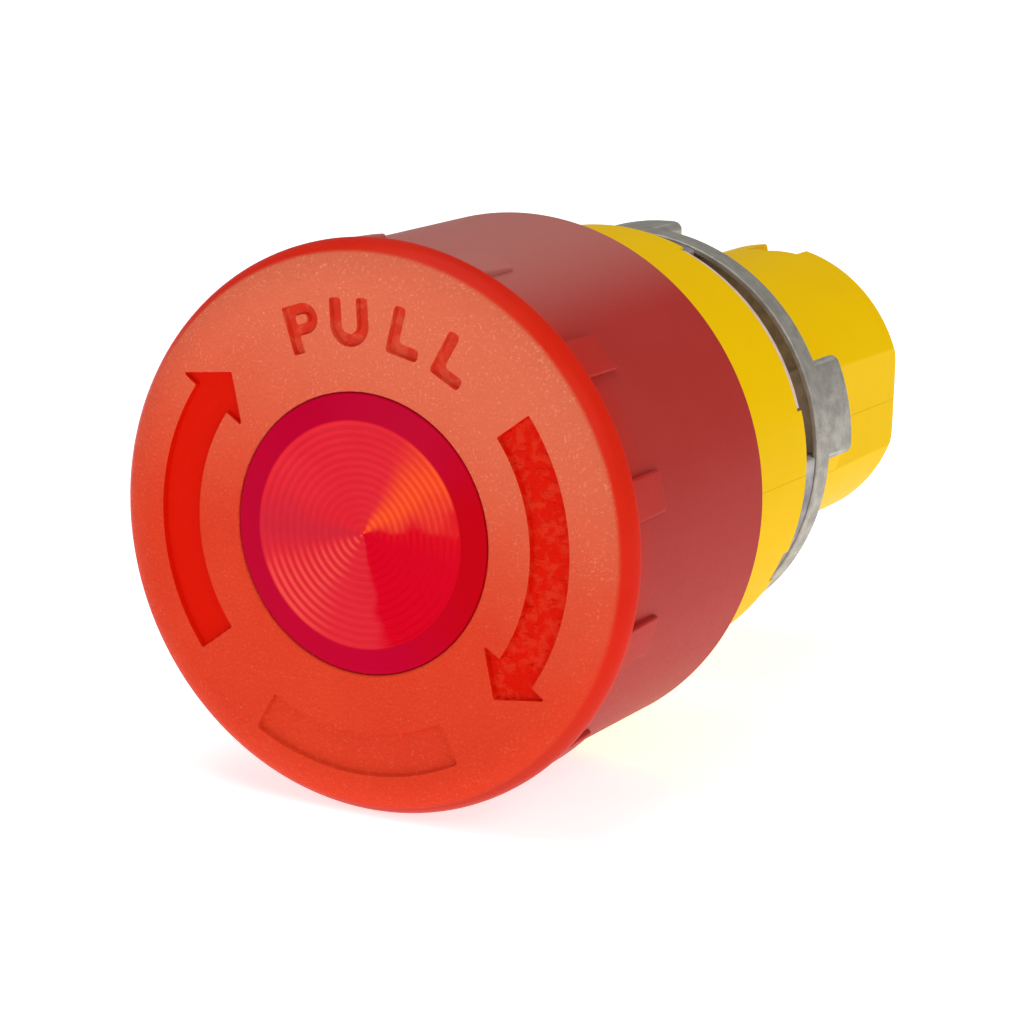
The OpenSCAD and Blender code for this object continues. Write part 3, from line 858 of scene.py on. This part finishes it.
fitted(shaped(spindle, lobes, "UNION"), "stem")
rod = [(0, -32, 0), (4.27, -32, 0.15), (4.27, 9, 0), (3.3, 10, 0.1), (0, 10, 0)]
fitted(turned("light_pipe", rod, CLEAR), "light_guide")
pusher = turned("pusher_ring", [(6.07, 26.8, 0.08), (8.3, 26.8, 0.12), (8.3, 27.8, 0.12), (7.2, 27.8, 0),
                                (7.2, 28.7, 0.12), (6.07, 28.7, 0.08)], BLACK)
shaped(pusher, [edged(blocks("dogs", BLACK, 4, 6.9, 8.3, 27.6, 28.7, 30, 45), 0.1, 2)], "UNION")
fitted(pusher, "contact_pusher")


def spring(name, radius, wire, front, rear, node):
    """A wound spring of six turns."""
    coil = grown_by(COIL, name, STEEL, Radius=radius, Wire=wire, Front=front, Rear=rear, Turns=6.0)
    return fitted(coil, node, 60)


spring("twist_spring", 12.0, 0.35, -32.2, -22.4, "torsion_spring")
press_spring = spring("press_spring", 10.6, 0.5, -19.15, -3.75, "return_spring")
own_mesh(press_spring)

SLIDER_FRONT, SLIDER_REAR, KEYS = -21.7, -19.7, 3
carriage = turned("slider", [(6.57, SLIDER_FRONT, 0.1), (13.6, SLIDER_FRONT, 0.2), (13.6, SLIDER_REAR, 0.2),
                             (6.57, SLIDER_REAR, 0.1)], GREY)
keys = [block("key", (13.2, SLIDER_FRONT, -1.2), (15.4, SLIDER_REAR, 1.2), GREY) for _ in range(KEYS)]
for i, key in enumerate(keys):
    key.data.transform(Matrix.Rotation(TURN * i / KEYS, 4, "Y"))
fitted(shaped(carriage, keys, "UNION"), "slide_carriage")

# ---------------------------------------------------------------- yellow body

THREAD_FRONT, PITCH, THREADS, DEPTH, BARREL, BARREL_END = 1.5, 1.5, 7, 0.4, 11.05, 10.98
FLAT_FRONT, REAR_BORE, STEM_BORE, COLLAR, COLLAR_FRONT, FLOOR = 18.5, 8.6, 6.57, 16.4, -23, -3.2
PAD_WIDTH, PAD_TURN = 49, -23.5


def barrel_outline():
    """Collar, gasket seat, threaded barrel and bores in one section."""
    line = [(15.5, -20.93, 0.1), (15.5, -19.47, 0.1), (COLLAR, -19.47, 0.1), (COLLAR, 0, 0.18),
            (16, 0, 0.05), (16, -0.9, 0.05), (11.3, -0.9, 0.05), (11.3, 0, 0.1), (BARREL, 0, 0)]
    for i in range(THREADS):
        y = THREAD_FRONT + i * PITCH
        line += [(BARREL, y, 0.06), (BARREL - DEPTH, y + 0.35, 0.06),
                 (BARREL - DEPTH, y + 0.65, 0.06), (BARREL, y + 1, 0.06)]
    line += [(BARREL, FLAT_FRONT, 0), (BARREL_END, 29, 0.45), (REAR_BORE, 29, 0.3), (REAR_BORE, 26.43, 0),
             (9.25, 26.43, 0), (9.25, 25.57, 0), (REAR_BORE, 25.57, 0), (REAR_BORE, 8, 0), (8, 8, 0),
             (8, -1, 0), (STEM_BORE, -1, 0.1), (STEM_BORE, -10.87, 0), (7.62, -10.87, 0),
             (7.62, -11.93, 0), (STEM_BORE, -11.93, 0), (STEM_BORE, -13.4, 0.15), (8.4, -13.4, 0.2),
             (8.4, FLOOR, 0.4), (14.6, FLOOR, 0.4), (14.6, COLLAR_FRONT, 0.15), (COLLAR, COLLAR_FRONT, 0.3),
             (COLLAR, -20.93, 0.1)]
    return line


body = turned("collar_and_barrel", barrel_outline(), YELLOW, fine=5)
tools = []
for side in (0, 180):
    for middle, width in ((43, 54), (-26.5, 9)):
        loop = [sector_loop(17.4, 15, middle + side, width)]
        tools.append(loft("window", [(-0.8, loop), (1, loop)], YELLOW))
    loop = [sector_loop(12.5, 10.4, 87.5 + side, 19)]
    tools.append(loft("notch", [(25.5, loop), (30, loop)], YELLOW))
    near, far = sorted((10.3 * math.copysign(1, 90 - side), 14 * math.copysign(1, 90 - side)))
    tools.append(block("flat", (near, FLAT_FRONT, -13), (far, 31, 13), YELLOW))
for i in range(KEYS):
    groove = block("key_groove", (13.6, -24, -1.3), (15.5, -12.7, 1.3), YELLOW)
    groove.data.transform(Matrix.Rotation(TURN * i / KEYS, 4, "Y"))
    tools.append(groove)
fitted(shaped(body, tools), "operator_body")

gasket = turned("neck_gasket", [(11.33, -0.87, 0.1), (15.97, -0.87, 0.15), (15.97, 0, 0.15),
                                (11.33, 0, 0.1)], GASKET)
fitted(shaped(gasket, [blocks("gasket_tabs", GASKET, 2, 15.2, 16.2, -0.76, -0.03, 52.6, 43)], "UNION"),
       "panel_gasket")
wiper = turned("wiper_seal", [
    (15.53, -20.9, 0.1), (17.5, -20.9, 0.12), (17.5, -20.4, 0.2), (16.9, -20.4, 0.2),
    (16.9, -19.5, 0.2), (15.53, -19.5, 0.1)], BLACK_RUBBER)
fitted(wiper, "skirt_seal")
fitted(round_ring("spindle_seal", 7.06, 0.5, -11.4, BLACK_RUBBER), "stem_seal")
cage = turned("pawl_cage", [(7.12, 8, 0.15), (8.57, 8, 0.15), (8.57, 15, 0.15), (7.12, 15, 0.15)], GREY)
slot_tools = [block("pawl_slot", (-10, 9.95, -2), (10, 13.05, 2), GREY)]
fitted(shaped(cage, slot_tools), "latch_cage")
fitted(round_ring("garter_spring", 7.96, 0.34, 11.5, STEEL), "pawl_spring")
fitted(turned("end_bush", [(6.07, 22, 0.2), (8.57, 22, 0.2), (8.57, 25.4, 0.2), (6.07, 25.4, 0.2)], WHITE),
       "rear_bush")

# ---------------------------------------------------------------- panel fixing

# The clamp plate and its pads carry the brown painted shade finish.
washer = turned("clamp_plate", [(11.25, 4.3, 0.1), (14.8, 4.3, 0.12), (14.8, 5.1, 0.12),
                                (11.25, 5.1, 0.1)], ZINC_BROWN_SHADE)
pads = blocks("clamp_pads", ZINC_BROWN_SHADE, 3, 12.3, 14.8, 1.6, 4.5, PAD_WIDTH, PAD_TURN)
feet = blocks("pad_feet", ZINC_FEET, 3, 14, 15.3, 1.6, 3.8, PAD_WIDTH, PAD_TURN)
shaped(washer, [edged(pads, 0.18, 3), edged(feet, 0.18, 3)], "UNION")
fitted(washer, "clamp_washer")

ring = turned("screw_ring", [
    (11.13, 5.2, 0.15), (14.95, 5.2, 0.1), (14.95, 3.9, 0.12), (15.4, 3.9, 0.15), (15.4, 6.1, 0.25),
    (12.9, 6.1, 0.4), (12.9, 9, 0.3), (11.13, 9, 0.2)], ZINC)
shaped(ring, [edged(blocks("lugs", ZINC, 4, 13.1, 15.4, 4.6, 10.4, 29, 12.5, steps=9), 0.7, 5)], "UNION")
fitted(ring, "fixing_ring")

for node in ("latch_pawl_left", "latch_pawl_right"):
    for pocket in frame["nodes"][node].material_slots:
        pocket.material = STEEL

# ---------------------------------------------------------------- room, light, camera


def lit_floor():
    """A wide pale sweep under the button."""
    f = Finish("pale_floor")
    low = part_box("mushroom_cap")[0].z / MM
    colour = f.blend(f.noise(0.01, 2.0), (0.90, 0.90, 0.90, 1), (0.92, 0.92, 0.92, 1))
    f.shader.inputs["Specular IOR Level"].default_value = 0.2
    loop = [Vector((x, z)) for x, z in ((-1, -1), (1, -1), (1, 1), (-1, 1))]
    bm = bmesh.new()
    bm.faces.new([bm.verts.new((p.x * 3000, p.y * 3000, low - 0.02)) for p in loop])
    f.feed(f.shader.inputs["Emission Color"], (1, 1, 1, 1))
    f.shader.inputs["Emission Strength"].default_value = 0.68
    floor = piece_from(bm, "floor", f.done(colour, 0.8))
    floor.data.transform(Matrix.Scale(MM, 4))


def lamp(name, place, aim, size, watts, tint=(1, 1, 1)):
    """A soft square lamp, in metres."""
    light = bpy.data.lights.new(name, "AREA")
    light.shape, light.size, light.energy, light.color = "SQUARE", size, watts, tint
    lamp_object = bpy.data.objects.new(name, light)
    lamp_object.location = place
    lamp_object.rotation_euler = (Vector(aim) - Vector(place)).to_track_quat("-Z", "Y").to_euler()
    bpy.context.scene.collection.objects.link(lamp_object)


lit_floor()
lamp("key", (-0.11, -0.30, -0.0), (0.0, -0.036, 0.0), 0.10, 0.22)
lamp("side", (0.42, -0.2, 0.3), (0, 0, 0), 0.3, 0.8)
lamp("over", (-0.1, -0.1, 0.8), (0, 0, 0), 0.6, 3.0)
world = bpy.data.worlds.new("studio")
world.use_nodes = True
sky = next(n for n in world.node_tree.nodes if n.type == "BACKGROUND")
sky.inputs["Color"].default_value = (1, 1, 1, 1)
sky.inputs["Strength"].default_value = 0.27
bpy.context.scene.world = world
bpy.context.scene.view_settings.view_transform = "Standard"

CAMERA_AT = Vector((0.150037, -0.291675, 0.072239))
AIM = Vector((-0.003967, -0.007366, -0.004508))
ROLL = math.radians(1.916)
cam_data = bpy.data.cameras.new("camera")
cam_data.lens, cam_data.sensor_width = 158.203, 36.0
cam_data.clip_start, cam_data.clip_end = 0.01, 20.0
camera = bpy.data.objects.new("camera", cam_data)
bpy.context.scene.collection.objects.link(camera)
back = (CAMERA_AT - AIM).normalized()
level = Vector((-back.y, back.x, 0)).normalized()
upright = back.cross(level)
right = level * math.cos(ROLL) + upright * math.sin(ROLL)
up = back.cross(right)
camera.matrix_world = Matrix.Translation(CAMERA_AT) @ Matrix((right, up, back)).transposed().to_4x4()
bpy.context.scene.camera = camera
